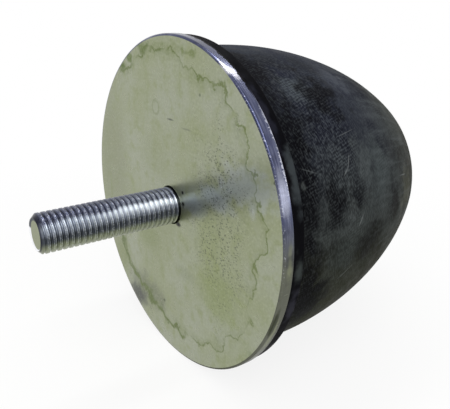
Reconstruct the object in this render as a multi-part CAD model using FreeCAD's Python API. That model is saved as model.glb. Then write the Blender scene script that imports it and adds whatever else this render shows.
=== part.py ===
import FreeCAD, Part
import math
import os

# Conical rubber mount, in millimetres, +Z up. Its axis lies along Y.
# The origin is the centre of the plate's outer face, which is the face that is bolted down.
# The stud points to -Y and the rubber nose points to +Y.

# Base plate: a disc punched from sheet steel
plate_diameter = 107.0
plate_thickness = 3.2
plate_face_chamfer = 0.6     # edge drawn in by the punch, on the outer face
plate_back_chamfer = 0.2     # broken edge on the rubber side
hole_clearance = 0.3         # from the thread's crests to the wall of the hole
hole_chamfer = 0.2

# Threaded stud: an M12 screw, with its crests as a plain wall
thread_diameter = 12.0
thread_gap = 0.3             # from the plate's outer face to the first full crest
stud_length = 44.5           # from the plate's outer face to the end of the stud
end_chamfer_length = 1.3
end_chamfer_depth = 1.25
shank_diameter = 11.4        # plain stretch inside the plate
head_across_flats = 18.0
head_height = 7.5
head_chamfer_angle = 30.0

# Rubber body: flange, groove and domed cone in one moulding
flange_thickness = 4.1
flange_setback = 0.3         # the flange's wall stays inside the plate's rim by this
flange_edge_chamfer = 0.5
groove_width = 1.4
groove_depth = 2.6           # from the foot of the dome down to the bottom of the groove
dome_foot_chamfer = 1.0
dome_diameter = 99.2         # at its widest
dome_widest_at = 11.4        # from the back of the flange to the widest place
rubber_height = 94.5         # from the back of the plate to the tip of the nose
nose_radius = 38.2

AXIS_START = FreeCAD.Vector(0, 0, 0)
AXIS = FreeCAD.Vector(0, 1, 0)


def at(along, out):
    """Point of the half section: along the axis from the plate's outer face, and out from it."""
    return FreeCAD.Vector(0, along, out)


def straight_edges(points):
    """Straight edges from each point to the next."""
    return [Part.makeLine(start, end) for start, end in zip(points, points[1:])]


def turned(edges):
    """Solid turned about the axis from a closed half section."""
    section = Part.Face(Part.Wire(edges))
    solid = section.revolve(AXIS_START, AXIS, 360)
    if solid.Volume < 0:
        solid.reverse()
    return solid


def ring_edges(solid, along, out):
    """Round edges of a turned solid that pass through one point of its section."""
    rings = []
    for edge in solid.Edges:
        if edge.Degenerated or not isinstance(edge.Curve, Part.Circle):
            continue
        same_place = abs(edge.Curve.Center.y - along) < 1e-4
        same_size = abs(edge.Curve.Radius - out) < 1e-4
        if same_place and same_size:
            rings.append(edge)
    return rings


def base_plate():
    """Disc with a hole, its outer edge drawn in on the outer face and broken behind."""
    rim = plate_diameter / 2
    hole = thread_diameter / 2 + hole_clearance
    corners = [at(0, hole), at(0, rim), at(plate_thickness, rim), at(plate_thickness, hole)]
    plate = turned(straight_edges(corners + corners[:1]))
    plate = plate.makeChamfer(plate_face_chamfer, ring_edges(plate, 0, rim))
    plate = plate.makeChamfer(plate_back_chamfer, ring_edges(plate, plate_thickness, rim))
    return plate.makeChamfer(hole_chamfer, ring_edges(plate, 0, hole))


def stud_head():
    """Hexagon head that bears on the back of the plate, its far corners chamfered."""
    seat = plate_thickness
    top = seat + head_height
    flat = head_across_flats / 2
    corner = flat / math.cos(math.radians(30))
    turns = [math.radians(60 * side) for side in range(7)]
    outline = [FreeCAD.Vector(corner * math.cos(turn), seat, corner * math.sin(turn)) for turn in turns]
    hexagon = Part.Face(Part.makePolygon(outline)).extrude(AXIS * head_height)
    drop = (corner - flat) * math.tan(math.radians(head_chamfer_angle))
    points = [at(seat, 0), at(seat, corner), at(top - drop, corner), at(top, flat), at(top, 0)]
    return hexagon.common(turned(straight_edges(points + points[:1])))


def threaded_stud():
    """Screw with its head behind the plate and its thread standing out in front."""
    crest = thread_diameter / 2
    shank = shank_diameter / 2
    end = -stud_length
    points = [
        at(plate_thickness, 0),
        at(plate_thickness, shank),
        at(-thread_gap, shank),
        at(-thread_gap, crest),
        at(end + end_chamfer_length, crest),
        at(end, crest - end_chamfer_depth),
        at(end, 0),
    ]
    screw = turned(straight_edges(points + points[:1]))
    return screw.fuse(stud_head()).removeSplitter()


def dome_arcs(foot):
    """Foot point of the dome, and its arcs up to the tip: the flank in three stretches, then the nose."""
    widest = dome_diameter / 2
    widest_along = plate_thickness + flange_thickness + dome_widest_at
    tip = plate_thickness + rubber_height
    nose_centre = tip - nose_radius
    reach = nose_centre - widest_along
    flank_radius = (widest ** 2 + reach ** 2 - nose_radius ** 2) / (2 * (widest - nose_radius))

    def flank_point(along):
        """Point of the flank arc at one place along the axis."""
        rise = math.sqrt(flank_radius ** 2 - (along - widest_along) ** 2)
        return at(along, widest - flank_radius + rise)

    lean = math.atan2(reach, flank_radius - widest)
    join = at(nose_centre + nose_radius * math.sin(lean), nose_radius * math.cos(lean))
    half = (lean + math.pi / 2) / 2
    nose_middle = at(nose_centre + nose_radius * math.sin(half), nose_radius * math.cos(half))
    stretches = [foot, widest_along, (widest_along + join.y) / 2, join.y]
    flank = [
        Part.Arc(flank_point(low), flank_point((low + high) / 2), flank_point(high)).toShape()
        for low, high in zip(stretches, stretches[1:])
    ]
    nose = Part.Arc(join, nose_middle, at(tip, 0)).toShape()
    return flank_point(foot), flank + [nose]


def rubber_body():
    """Flange, groove and dome, with the pocket that the stud's head fills."""
    front = plate_thickness
    flange = plate_diameter / 2 - flange_setback
    flange_back = front + flange_thickness
    dome_foot = flange_back + groove_width
    foot, arcs = dome_arcs(dome_foot)
    groove = foot.z - groove_depth
    points = [
        at(front + rubber_height, 0),
        at(front, 0),
        at(front, flange),
        at(flange_back, flange),
        at(flange_back, groove),
        at(dome_foot, groove),
        foot,
    ]
    rubber = turned(straight_edges(points) + arcs)
    rubber = rubber.makeChamfer(flange_edge_chamfer, ring_edges(rubber, flange_back, flange))
    rubber = rubber.makeChamfer(dome_foot_chamfer, ring_edges(rubber, dome_foot, foot.z))
    return rubber.cut(stud_head())


def save(name, shape):
    """Write one piece to its STEP file."""
    shape.exportStep("parts/" + name + ".step")


os.makedirs("parts", exist_ok=True)
save("base_plate", base_plate())
save("threaded_stud", threaded_stud())
save("rubber_body", rubber_body())
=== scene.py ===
"""Looks of a conical rubber mount: a zinc plated steel disc and stud, and a moulded rubber nose.

Lengths are in millimetres until a mesh is made. The frame is the mount's own: +Z is up, the axis
lies along Y, the disc's outer face is at y = 0, the stud points to -Y and the nose to +Y.
"""

import logging
import math
from collections.abc import Callable, Iterable, Iterator
from contextlib import contextmanager
from dataclasses import dataclass
from enum import Enum
from typing import Any

import bmesh
import bpy
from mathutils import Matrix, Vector


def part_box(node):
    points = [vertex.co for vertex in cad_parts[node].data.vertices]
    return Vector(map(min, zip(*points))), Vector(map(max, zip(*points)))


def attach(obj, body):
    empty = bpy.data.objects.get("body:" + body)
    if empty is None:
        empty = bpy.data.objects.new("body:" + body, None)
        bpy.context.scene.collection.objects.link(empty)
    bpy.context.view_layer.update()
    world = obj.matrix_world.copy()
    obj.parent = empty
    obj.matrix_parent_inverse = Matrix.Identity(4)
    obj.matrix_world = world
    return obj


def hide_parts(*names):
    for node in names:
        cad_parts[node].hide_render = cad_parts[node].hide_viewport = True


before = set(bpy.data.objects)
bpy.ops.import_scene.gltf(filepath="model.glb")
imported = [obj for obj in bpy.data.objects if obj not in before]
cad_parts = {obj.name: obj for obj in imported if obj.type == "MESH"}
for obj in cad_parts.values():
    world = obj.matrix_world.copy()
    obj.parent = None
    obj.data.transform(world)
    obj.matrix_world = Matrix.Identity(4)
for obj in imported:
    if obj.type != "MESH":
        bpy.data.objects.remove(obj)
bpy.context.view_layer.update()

MM = 0.001  # metres in a millimetre
MERGED = 0.002  # millimetres between points that are one
ON_RING = 0.01  # millimetres between a place and the ring that it lies on
ON_LEVEL = 0.001  # millimetres between a place and the level that it lies on
ROUNDING = 0.0001  # millimetres that rounding can add to a place
ANY = 1000.0  # half width that leaves a direction out of a spot
ONE_RIDGE = math.tau / 20  # scale at which a wave texture has one ridge in each unit
SMOOTH = {"interpolation_type": "SMOOTHSTEP"}  # eases a MapRange node in and out

Piece = bpy.types.Object
Tree = bpy.types.NodeTree
Socket = bpy.types.NodeSocket
Triple = tuple[float, float, float]

log = logging.getLogger("conical_mount")


class Node(Enum):
    """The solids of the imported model."""

    PLATE = "base_plate"
    STUD = "threaded_stud"
    RUBBER = "rubber_body"


class Slot(Enum):
    """The record's material slots."""

    PLATE = "plate_steel"
    STUD = "stud_steel"
    RUBBER = "moulded_rubber"


class Select(Enum):
    """What is picked in edit mode."""

    POINTS = "VERT"
    EDGES = "EDGE"
    FACES = "FACE"


class Cleared(Enum):
    """What a cut across the stud takes away."""

    NOTHING = 0
    TOWARDS_END = 1
    TOWARDS_HEAD = 2


def reach(node: Node) -> tuple[Vector, Vector]:
    """Lowest and highest corner of a solid, in millimetres."""
    low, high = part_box(node.value)
    return low / MM, high / MM


# Edit mode


def pick_only(piece: Piece) -> None:
    """Deselect everything, then select one piece and make it active.

    Args:
        piece: The piece to select.
    """
    bpy.ops.object.select_all(action="DESELECT")
    piece.select_set(True)
    bpy.context.view_layer.objects.active = piece


@contextmanager
def editing(piece: Piece, kind: Select = Select.FACES) -> Iterator[None]:
    """Edit mode on one piece, with nothing selected when it starts.

    Args:
        piece: The mesh object to edit.
        kind: Whether points, edges or faces are picked.
    """
    pick_only(piece)
    bpy.ops.object.mode_set(mode="EDIT")
    bpy.ops.mesh.select_mode(type=kind.value)
    bpy.ops.mesh.select_all(action="DESELECT")
    yield
    bpy.ops.object.mode_set(mode="OBJECT")


def select_where(piece: Piece, kind: Select, test: Callable[[Vector], bool]) -> int:
    """Select what passes a test of its place, in millimetres.

    Args:
        piece: The mesh object in edit mode.
        kind: Whether the middle of a face, both ends of an edge, or a point is tested.
        test: Says whether a place is wanted.

    Returns:
        How many were selected.
    """
    mesh = bmesh.from_edit_mesh(piece.data)
    if kind is Select.FACES:
        tested = [(face, [face.calc_center_median()]) for face in mesh.faces]
    elif kind is Select.EDGES:
        tested = [(edge, [end.co for end in edge.verts]) for edge in mesh.edges]
    else:
        tested = [(point, [point.co]) for point in mesh.verts]
    found = 0
    for part, places in tested:
        wanted = all(test(place / MM) for place in places)
        part.select_set(wanted)
        found += wanted
    bmesh.update_edit_mesh(piece.data)
    return found


def on_ring(along: float, out: float) -> Callable[[Vector], bool]:
    """Test for places on one ring about the axis.

    Args:
        along: Where the ring lies along the axis.
        out: Its radius.

    Returns:
        The test, which takes a place in millimetres.
    """
    def test(place: Vector) -> bool:
        """Whether a place lies on the ring."""
        off = math.hypot(place.x, place.z) - out
        return abs(place.y - along) < ON_RING and abs(off) < ON_RING
    return test


def settle(piece: Piece, name: str) -> Piece:
    """Name a new piece and put its place into its mesh, so that it sits at the origin.

    Args:
        piece: The new piece.
        name: Its name, and its mesh's.

    Returns:
        The same piece.
    """
    pick_only(piece)
    bpy.ops.object.transform_apply(location=True, rotation=True, scale=True)
    piece.name = name
    piece.data.name = name
    return piece


def apply_modifier(piece: Piece, kind: str, **settings: Any) -> None:
    """Add one modifier with its settings and apply it.

    Args:
        piece: The mesh object.
        kind: The modifier's type.
        settings: The modifier's own properties.
    """
    modifier = piece.modifiers.new(kind.lower(), kind)
    for key, value in settings.items():
        setattr(modifier, key, value)
    pick_only(piece)
    bpy.ops.object.modifier_apply(modifier=modifier.name)


def combine(piece: Piece, other: Piece, operation: str) -> None:
    """Boolean one closed piece with another and remove the other."""
    apply_modifier(piece, "BOOLEAN", object=other, operation=operation, solver="EXACT")
    bpy.data.objects.remove(other)


def smooth(piece: Piece, angle: float) -> None:
    """Shade smooth across edges that turn less than an angle in degrees."""
    pick_only(piece)
    bpy.ops.object.shade_smooth_by_angle(angle=math.radians(angle))


def make_solid(piece: Piece) -> None:
    """Merge doubles and point the faces outwards.

    Args:
        piece: The closed piece.
    """
    with editing(piece, Select.POINTS):
        bpy.ops.mesh.select_all(action="SELECT")
        bpy.ops.mesh.remove_doubles(threshold=MERGED * MM)
        bpy.ops.mesh.normals_make_consistent(inside=False)


@dataclass(frozen=True)
class Ring:
    """One ring of a turned piece: its place along the axis and its radius."""

    along: float
    out: float


def turn_rings(name: str, rings: list[Ring], segments: int) -> Piece:
    """Closed turned piece, drawn from a disc by extruding and resizing it ring by ring.

    Args:
        name: The new piece's name.
        rings: The rings in order. The disc is the first.
        segments: How many sides a ring has.

    Returns:
        The piece, closed at both ends.
    """
    first = rings[0]
    bpy.ops.mesh.primitive_circle_add(
        vertices=segments,
        radius=first.out * MM,
        fill_type="NGON",
        location=(0, first.along * MM, 0),
        rotation=(math.pi / 2, 0, 0),
    )
    piece = settle(bpy.context.object, name)
    with editing(piece):
        bpy.ops.mesh.select_all(action="SELECT")
        for last, ring in zip(rings, rings[1:]):
            step = (0, (ring.along - last.along) * MM, 0)
            bpy.ops.mesh.extrude_region_move(TRANSFORM_OT_translate={"value": step})
            grow = ring.out / last.out
            centre = (0, ring.along * MM, 0)
            bpy.ops.transform.resize(value=(grow, 1, grow), center_override=centre)
    make_solid(piece)
    return piece


def round_ring(piece: Piece, ring: Ring, radius: float, segments: int) -> None:
    """Round the edge that runs along one ring.

    Args:
        piece: The turned piece.
        ring: Where the edge runs.
        radius: The bevel's width on each side.
        segments: How many faces make the round.
    """
    with editing(piece, Select.EDGES):
        found = select_where(piece, Select.EDGES, on_ring(ring.along, ring.out))
        log.info("%s: rounding %d edges at y %.1f", piece.name, found, ring.along)
        bpy.ops.mesh.bevel(offset=radius * MM, segments=segments, affect="EDGES")


# Materials


def linear(code: str) -> tuple[float, float, float, float]:
    """Linear colour of an sRGB hex value.

    Args:
        code: A hash sign and six hex digits.

    Returns:
        Red, green, blue and an alpha of 1.
    """
    def channel(value: float) -> float:
        """One channel from 0 to 1, turned to linear."""
        return value / 12.92 if value <= 0.04045 else ((value + 0.055) / 1.055) ** 2.4
    red, green, blue = (channel(int(code[i:i + 2], 16) / 255) for i in (1, 3, 5))
    return red, green, blue, 1.0


def add(
    tree: Tree, kind: str, inputs: dict[Any, Any] | None = None, out: int | str = 0, **settings: Any
) -> Socket:
    """Add a node with its settings and links.

    Args:
        tree: The material's nodes.
        kind: The node's type, after ShaderNode.
        inputs: For each input, by number or name, a socket to link or a value to set.
        out: The output to return, by number or name.
        settings: The node's own properties.

    Returns:
        The chosen output.
    """
    node = tree.nodes.new("ShaderNode" + kind)
    for key, value in settings.items():
        setattr(node, key, value)
    for key, value in (inputs or {}).items():
        if isinstance(value, Socket):
            tree.links.new(value, node.inputs[key])
        else:
            node.inputs[key].default_value = value
    return node.outputs[out] if len(node.outputs) else node.inputs[0]


@dataclass(frozen=True)
class Place:
    """Where a point of the surface lies: millimetres, and degrees from +X towards +Z."""

    point: Socket
    along: Socket
    up: Socket
    out: Socket
    turn: Socket
    polar: Socket

    @classmethod
    def in_tree(cls, tree: Tree) -> "Place":
        """Nodes that give the place from Object coordinates.

        Args:
            tree: The material's nodes.

        Returns:
            The place.
        """
        local = add(tree, "TexCoord", out="Object")
        point = add(tree, "VectorMath", {0: local, 3: 1 / MM}, operation="SCALE")
        parts = add(tree, "SeparateXYZ", {0: point}).node.outputs
        flat = add(tree, "CombineXYZ", {0: parts[0], 2: parts[2]})
        out = add(tree, "VectorMath", {0: flat}, out=1, operation="LENGTH")
        angle = add(tree, "Math", {0: parts[2], 1: parts[0]}, operation="ARCTAN2")
        turn = add(tree, "Math", {0: angle}, operation="DEGREES")
        polar = add(tree, "CombineXYZ", {0: turn, 1: parts[1]})
        return cls(point, parts[1], parts[2], out, turn, polar)


@dataclass(frozen=True)
class Fade:
    """A stretch over which a mask comes in: where it starts and where it is full."""

    start: float
    full: float

    def over(self, value: Socket) -> dict[int, Any]:
        """Inputs that make a MapRange node fade in over a value."""
        return {0: value, 1: self.start, 2: self.full}

    def past(self, base: float) -> "Fade":
        """The same stretch, counted from another value."""
        return Fade(base + self.start, base + self.full)


@dataclass(frozen=True)
class Layer:
    """A colour laid over what is under it where its mask is 1, at a strength."""

    mask: Socket
    colour: str
    strength: float = 1.0


def lay(tree: Tree, ground: str, layers: Iterable[Layer]) -> Socket:
    """Colour built up from a ground in layers.

    Args:
        tree: The material's nodes.
        ground: The lowest colour.
        layers: What lies on it, the lowest first.

    Returns:
        The colour.
    """
    colour = linear(ground)
    for layer in layers:
        cover = add(tree, "Math", {0: layer.mask, 1: layer.strength}, operation="MULTIPLY")
        inputs = {0: cover, 6: colour, 7: linear(layer.colour)}
        colour = add(tree, "Mix", inputs, out=2, data_type="RGBA")
    return colour


def grain(
    tree: Tree,
    vector: Socket,
    size: float,
    detail: float = 3.0,
    stretch: Triple = (1, 1, 1),
    shift: float = 0.0,
    lean: float = 0.0,
) -> Socket:
    """Noise from 0 to 1 whose patches have a real size.

    Args:
        tree: The material's nodes.
        vector: The place, in millimetres.
        size: How wide a patch is, in millimetres.
        detail: How many finer layers lie on it.
        stretch: How many times longer a patch is along each axis.
        shift: Moves the pattern, so that two of the same size differ.
        lean: Turns the pattern about its third axis, in degrees.

    Returns:
        The noise.
    """
    leaning = add(tree, "Mapping", {"Vector": vector, "Rotation": (0, 0, math.radians(lean))})
    scale = tuple(1 / (size * part) for part in stretch)
    moves = {"Vector": leaning, "Location": (shift, shift, shift), "Scale": scale}
    moved = add(tree, "Mapping", moves)
    return add(tree, "TexNoise", {"Vector": moved, "Scale": 1.0, "Detail": detail})


def product(tree: Tree, *masks: Socket) -> Socket:
    """Mask of where all of the masks lie.

    Args:
        tree: The material's nodes.
        masks: The masks.

    Returns:
        The mask.
    """
    both = masks[0]
    for mask in masks[1:]:
        both = add(tree, "Math", {0: both, 1: mask}, operation="MULTIPLY")
    return both


def spot(
    tree: Tree,
    vector: Socket,
    centre: Triple,
    size: Triple,
    edge: Socket,
    ragged: float = 0.8,
    solid: float = 0.3,
) -> Socket:
    """Soft patch with a ragged edge, 1 in its middle and 0 outside.

    Args:
        tree: The material's nodes.
        vector: The place on the surface.
        centre: The middle of the patch.
        size: Its half widths.
        edge: Noise that breaks its edge up.
        ragged: How far the noise moves the edge, as a share of the size.
        solid: The share of the patch that is fully covered.

    Returns:
        The mask.
    """
    away = add(tree, "VectorMath", {0: vector, 1: centre}, operation="SUBTRACT")
    scaled = add(tree, "VectorMath", {0: away, 1: size}, operation="DIVIDE")
    distance = add(tree, "VectorMath", {0: scaled}, out=1, operation="LENGTH")
    bite = add(tree, "Math", {0: edge, 1: 0.5}, operation="SUBTRACT")
    bitten = add(tree, "Math", {0: bite, 1: ragged, 2: distance}, operation="MULTIPLY_ADD")
    return add(tree, "MapRange", {0: bitten, 1: 1.0, 2: solid}, **SMOOTH)


@dataclass(frozen=True)
class Stain:
    """A soft patch: its middle, half widths, colour, strength and how ragged it is.

    On the disc's face it is measured in millimetres across and up. On the round pieces it is
    measured in degrees about the axis and in millimetres along it.
    """

    first: float
    second: float
    wide: float
    high: float
    colour: str
    strength: float
    ragged: float = 1.6


def patches(
    tree: Tree, place: Place, stains: Iterable[Stain], edge: Socket, solid: float = 0.3
) -> list[Layer]:
    """Layers of the soft patches on a round piece.

    Args:
        tree: The material's nodes.
        place: Where the surface lies.
        stains: The patches, the lowest first.
        edge: Noise that breaks their edges up.
        solid: The share of a patch that is fully covered.

    Returns:
        The layers.
    """
    layers = []
    for stain in stains:
        centre = (stain.first, stain.second, 0)
        size = (stain.wide, stain.high, ANY)
        mask = spot(tree, place.polar, centre, size, edge, stain.ragged, solid)
        layers.append(Layer(mask, stain.colour, stain.strength))
    return layers


@dataclass(frozen=True)
class Finish:
    """A finish, and the material that it makes."""

    name: str

    def surface(self, tree: Tree, place: Place) -> Socket:
        """Nodes of the finish, as one shader."""
        raise NotImplementedError

    def material(self) -> bpy.types.Material:
        """New material with the finish's nodes in it.

        Returns:
            The material.
        """
        material = bpy.data.materials.new(self.name)
        material.use_nodes = True
        tree = material.node_tree
        tree.nodes.clear()
        shader = self.surface(tree, Place.in_tree(tree))
        add(tree, "OutputMaterial", {"Surface": shader})
        return material


def coat(piece: Piece, *finishes: Finish) -> None:
    """Give a piece its materials, with the first one all over it.

    Args:
        piece: The finished mesh.
        finishes: The finishes, in the order of the piece's material slots.
    """
    piece.data.materials.clear()
    for finish in finishes:
        piece.data.materials.append(finish.material())
    for face in piece.data.polygons:
        face.material_index = 0


@dataclass(frozen=True)
class Bend:
    """One bend of the tide line: degrees about the axis, radius, and how bold the line is."""

    turn: float
    out: float
    bold: float


@dataclass(frozen=True)
class StainedZinc(Finish):
    """Zinc plating with a passivated film on sheet steel, dulled and stained by drying water.

    It gives the eye a matt sage grey with olive tide marks, in which the stud is mirrored softly.
    A painted reflection of the stud runs from its foot to the rim, a painted dark reflection lies at
    the bottom left, and painted shade lies in the crevice round the stud's hole.
    """

    name: str = "stained_zinc_plated_steel"
    sage: str = "#92987B"
    green: str = "#889069"
    grey: str = "#999E8A"
    olive: str = "#5C6A33"
    fleck: str = "#33382C"
    dust: str = "#BFC5AC"
    # Painted shade in the crevice round the stud's hole
    crevice_shade: str = "#14140F"
    hole: float = 6.3
    crevice_shade_reach: Fade = Fade(0.38, 0.2)
    cloud_width: float = 22.0
    mottle_width: float = 4.0
    dust_width: float = 0.8
    curve_reach: float = 60.0
    tide_wander: float = 11.0
    tide_widths: tuple[float, float] = (0.55, 2.3)
    halo_inside: Fade = Fade(-4.0, 0.0)
    halo_outside: Fade = Fade(0.6, 0.0)
    halo_strength: float = 0.3
    drop_middle: Triple = (-8.5, 0, 30.5)
    drop_radius: float = 2.9
    fleck_cells: Triple = (1.05, 1, 1.75)
    fleck_middle: Triple = (26, 0, 4)
    fleck_reach: Triple = (17, ANY, 38)
    tide: tuple[Bend, ...] = (
        # From the left of the face down, then up its right side and over the top
        Bend(-160, 42, 0.0),
        Bend(-146, 43, 0.75),
        Bend(-134, 44.5, 0.8),
        Bend(-117, 43, 1.0),
        Bend(-102, 43, 0.9),
        Bend(-82, 44.5, 0.8),
        Bend(-73, 45, 0.55),
        Bend(-58, 46, 0.55),
        Bend(-44, 46.5, 0.5),
        Bend(-28, 46, 0.45),
        Bend(-14, 43, 0.5),
        Bend(-1, 44, 0.55),
        Bend(5, 48, 0.55),
        Bend(17, 45, 0.5),
        Bend(33, 46, 0.5),
        Bend(45, 48, 0.55),
        Bend(60, 48, 0.55),
        Bend(72, 44.5, 0.6),
        Bend(84, 48, 0.55),
        Bend(100, 49.5, 0.6),
        Bend(116, 50, 0.65),
        Bend(130, 50, 0.5),
        Bend(142, 49, 0.0),
    )
    stains: tuple[Stain, ...] = (
        # The duller left side
        Stain(-42, 0, 17, 45, "#84896D", 0.7, 0.8),
        # A painted reflection of the stud: a bluish streak from its foot to the rim
        Stain(38, 16, 15, 8, "#A6ACA8", 0.8),
        Stain(14, 4, 10, 4.5, "#A0A8AE", 0.75, 1.2),
        Stain(25, 9, 11, 5, "#A2A9AC", 0.8, 0.8),
        # Green clouds
        Stain(27, -20, 13, 13, "#818C57", 0.65),
        Stain(22, -4, 9, 12, "#858E5E", 0.5),
        Stain(-15, -16, 10, 7, "#7D875B", 0.5),
        Stain(-36, -32, 8, 9, "#7A8454", 0.5),
        Stain(-10, 14, 12, 9, "#868D6C", 0.3),
        # Green lines beside the left rim
        Stain(-44.5, -7, 1.2, 12, "#7D885B", 0.4),
        Stain(-33.5, -28, 1.6, 6, "#66743C", 0.6),
        # Olive spots under the top of the rim
        Stain(-30.4, 41.6, 3.4, 2.6, "#55672C", 1.0, 2.4),
        Stain(-25.5, 45, 2.8, 2.2, "#5F6F36", 0.9, 2.4),
        Stain(-15, 48.6, 5, 2.2, "#5F6E38", 0.8, 3.4),
        Stain(-1, 49.2, 13, 2.4, "#717C4B", 0.4, 3.8),
        Stain(11, 48.5, 5, 1.6, "#66733D", 0.7, 3.4),
        # A painted dark reflection at the bottom left
        Stain(-16, -38, 17, 8, "#666B56", 0.6),
        Stain(-24, -43.5, 9, 5.5, "#4C4F48", 0.95, 0.9),
        # Two short dashes above the stud
        Stain(0.6, 28, 2.6, 0.45, "#4C5148", 0.8, 0.8),
        Stain(10, 26.5, 4, 0.4, "#6A6F5F", 0.5, 1.2),
        # Small spots
        Stain(-4.6, -37, 0.9, 0.8, "#4C553A", 0.8),
        Stain(16.5, 37.5, 0.8, 0.7, "#55604A", 0.7),
        Stain(48.5, 20.5, 0.7, 0.7, "#4A5040", 0.8),
        # A green patch at the bottom right, and a grey one under the stud
        Stain(44, -33, 5, 4, "#68784A", 0.5),
        Stain(9, -21, 8, 3.2, "#858C74", 0.5),
    )
    blobs: tuple[Stain, ...] = (
        # Lumps of dirt round the stud's foot
        Stain(7.4, 6.2, 0.9, 0.8, "#0C0C0A", 1.0, 0.3),
        Stain(7.7, 2.6, 1.1, 0.9, "#0C0C0A", 1.0, 0.3),
        Stain(4.6, -5.1, 2.2, 1.2, "#0C0C0A", 1.0, 0.3),
    )

    def surface(self, tree: Tree, place: Place) -> Socket:
        """Nodes of the finish, as one shader.

        Args:
            tree: The material's nodes.
            place: Where the surface lies.

        Returns:
            The shader.
        """
        clouds = grain(tree, place.point, self.cloud_width, detail=5)
        mottle = grain(tree, place.point, self.mottle_width, detail=6, shift=7)
        fine = grain(tree, place.point, self.dust_width, shift=3)
        warm = add(tree, "MapRange", {0: clouds, 1: 0.38, 2: 0.62}, **SMOOTH)
        patchy = add(tree, "MapRange", {0: mottle, 1: 0.46, 2: 0.75}, **SMOOTH)
        dusty = add(tree, "MapRange", {0: fine, 1: 0.48, 2: 0.8}, **SMOOTH)
        dim = add(tree, "MapRange", {0: fine, 1: 0.5, 2: 0.2}, **SMOOTH)
        layers = [Layer(warm, self.sage), Layer(patchy, self.green, 0.75)]
        for stain in self.stains + self.blobs:
            centre = (stain.first, 0, stain.second)
            size = (stain.wide, ANY, stain.high)
            mask = spot(tree, place.point, centre, size, mottle, stain.ragged)
            layers.append(Layer(mask, stain.colour, stain.strength))
        layers.append(Layer(self.tide_line(tree, place), self.olive))
        layers.append(Layer(self.drop_mark(tree, place, mottle), self.olive, 0.3))
        layers.append(Layer(self.flecks(tree, place), self.fleck, 0.72))
        layers.append(Layer(dusty, self.dust, 0.25))
        layers.append(Layer(dim, self.fleck, 0.12))
        # Painted shade in the crevice round the stud's foot
        layers.append(Layer(self.crevice(tree, place, fine), self.crevice_shade))
        colour = lay(tree, self.grey, layers)
        rough = add(tree, "MapRange", {0: mottle, 1: 0.3, 2: 0.7, 3: 0.26, 4: 0.34})
        height = add(tree, "Math", {0: fine, 1: mottle}, operation="ADD")
        bump = add(tree, "Bump", {"Height": height, "Strength": 0.3, "Distance": 0.02 * MM})
        steel = {"Base Color": colour, "Metallic": 0.85, "Roughness": rough, "Normal": bump}
        return add(tree, "BsdfPrincipled", steel)

    def along_tide(self, tree: Tree, place: Place, heights: list[float]) -> Socket:
        """A value that changes round the tide line.

        Args:
            tree: The material's nodes.
            place: Where the surface lies.
            heights: The value at each bend, from 0 to 1.

        Returns:
            The value, smooth between the bends.
        """
        share = add(tree, "MapRange", {0: place.turn, 1: -180, 2: 180})
        value = add(tree, "FloatCurve", {1: share})
        curve = value.node.mapping.curves[0]
        curve.points[0].location = (0.0, heights[0])
        curve.points[1].location = (1.0, heights[-1])
        for bend, height in zip(self.tide, heights):
            curve.points.new((bend.turn + 180) / 360, height)
        value.node.mapping.update()
        return value

    def tide_line(self, tree: Tree, place: Place) -> Socket:
        """Meandering line where water dried, a few millimetres inside the rim.

        Args:
            tree: The material's nodes.
            place: Where the surface lies.

        Returns:
            The line's mask, with a faint halo on its inner side.
        """
        middle = self.along_tide(tree, place, [bend.out / self.curve_reach for bend in self.tide])
        bold = self.along_tide(tree, place, [bend.bold for bend in self.tide])
        radius = add(tree, "Math", {0: middle, 1: self.curve_reach}, operation="MULTIPLY")
        meander = grain(tree, place.point, 5, detail=4)
        sway = add(tree, "Math", {0: meander, 1: 0.5}, operation="SUBTRACT")
        swayed = {0: sway, 1: self.tide_wander, 2: radius}
        line = add(tree, "Math", swayed, operation="MULTIPLY_ADD")
        gap = add(tree, "Math", {0: place.out, 1: line}, operation="SUBTRACT")
        off = add(tree, "Math", {0: gap}, operation="ABSOLUTE")
        thin, thick = self.tide_widths
        width = add(tree, "MapRange", {0: bold, 1: 0.5, 2: 1.0, 3: thin, 4: thick})
        core = add(tree, "MapRange", {0: off, 1: width, 2: 0.1}, **SMOOTH)
        inside = add(tree, "MapRange", self.halo_inside.over(gap), **SMOOTH)
        outside = add(tree, "MapRange", self.halo_outside.over(gap), **SMOOTH)
        faint = {0: product(tree, inside, outside), 1: self.halo_strength}
        halo = add(tree, "Math", faint, operation="MULTIPLY")
        both = add(tree, "Math", {0: core, 1: halo}, operation="MAXIMUM")
        breaks = grain(tree, place.point, 7, detail=3, shift=11)
        steady = add(tree, "Math", {0: bold, 1: 0.25, 2: breaks}, operation="MULTIPLY_ADD")
        broken = add(tree, "MapRange", {0: steady, 1: 0.48, 2: 0.64, 3: 0.2}, **SMOOTH)
        shown = add(tree, "MapRange", {0: bold, 1: 0.0, 2: 0.8}, **SMOOTH)
        return product(tree, both, broken, shown)

    def drop_mark(self, tree: Tree, place: Place, mottle: Socket) -> Socket:
        """Faint ring that a drop left above the stud.

        Args:
            tree: The material's nodes.
            place: Where the surface lies.
            mottle: Noise that bends the ring.

        Returns:
            The ring's mask.
        """
        away = add(tree, "VectorMath", {0: place.point, 1: self.drop_middle}, operation="SUBTRACT")
        far = add(tree, "VectorMath", {0: away}, out=1, operation="LENGTH")
        wavy = add(tree, "Math", {0: mottle, 1: 1.6, 2: far}, operation="MULTIPLY_ADD")
        off = add(tree, "Math", {0: wavy, 1: self.drop_radius}, operation="SUBTRACT")
        gap = add(tree, "Math", {0: off}, operation="ABSOLUTE")
        return add(tree, "MapRange", {0: gap, 1: 0.7, 2: 0.1}, **SMOOTH)

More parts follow.
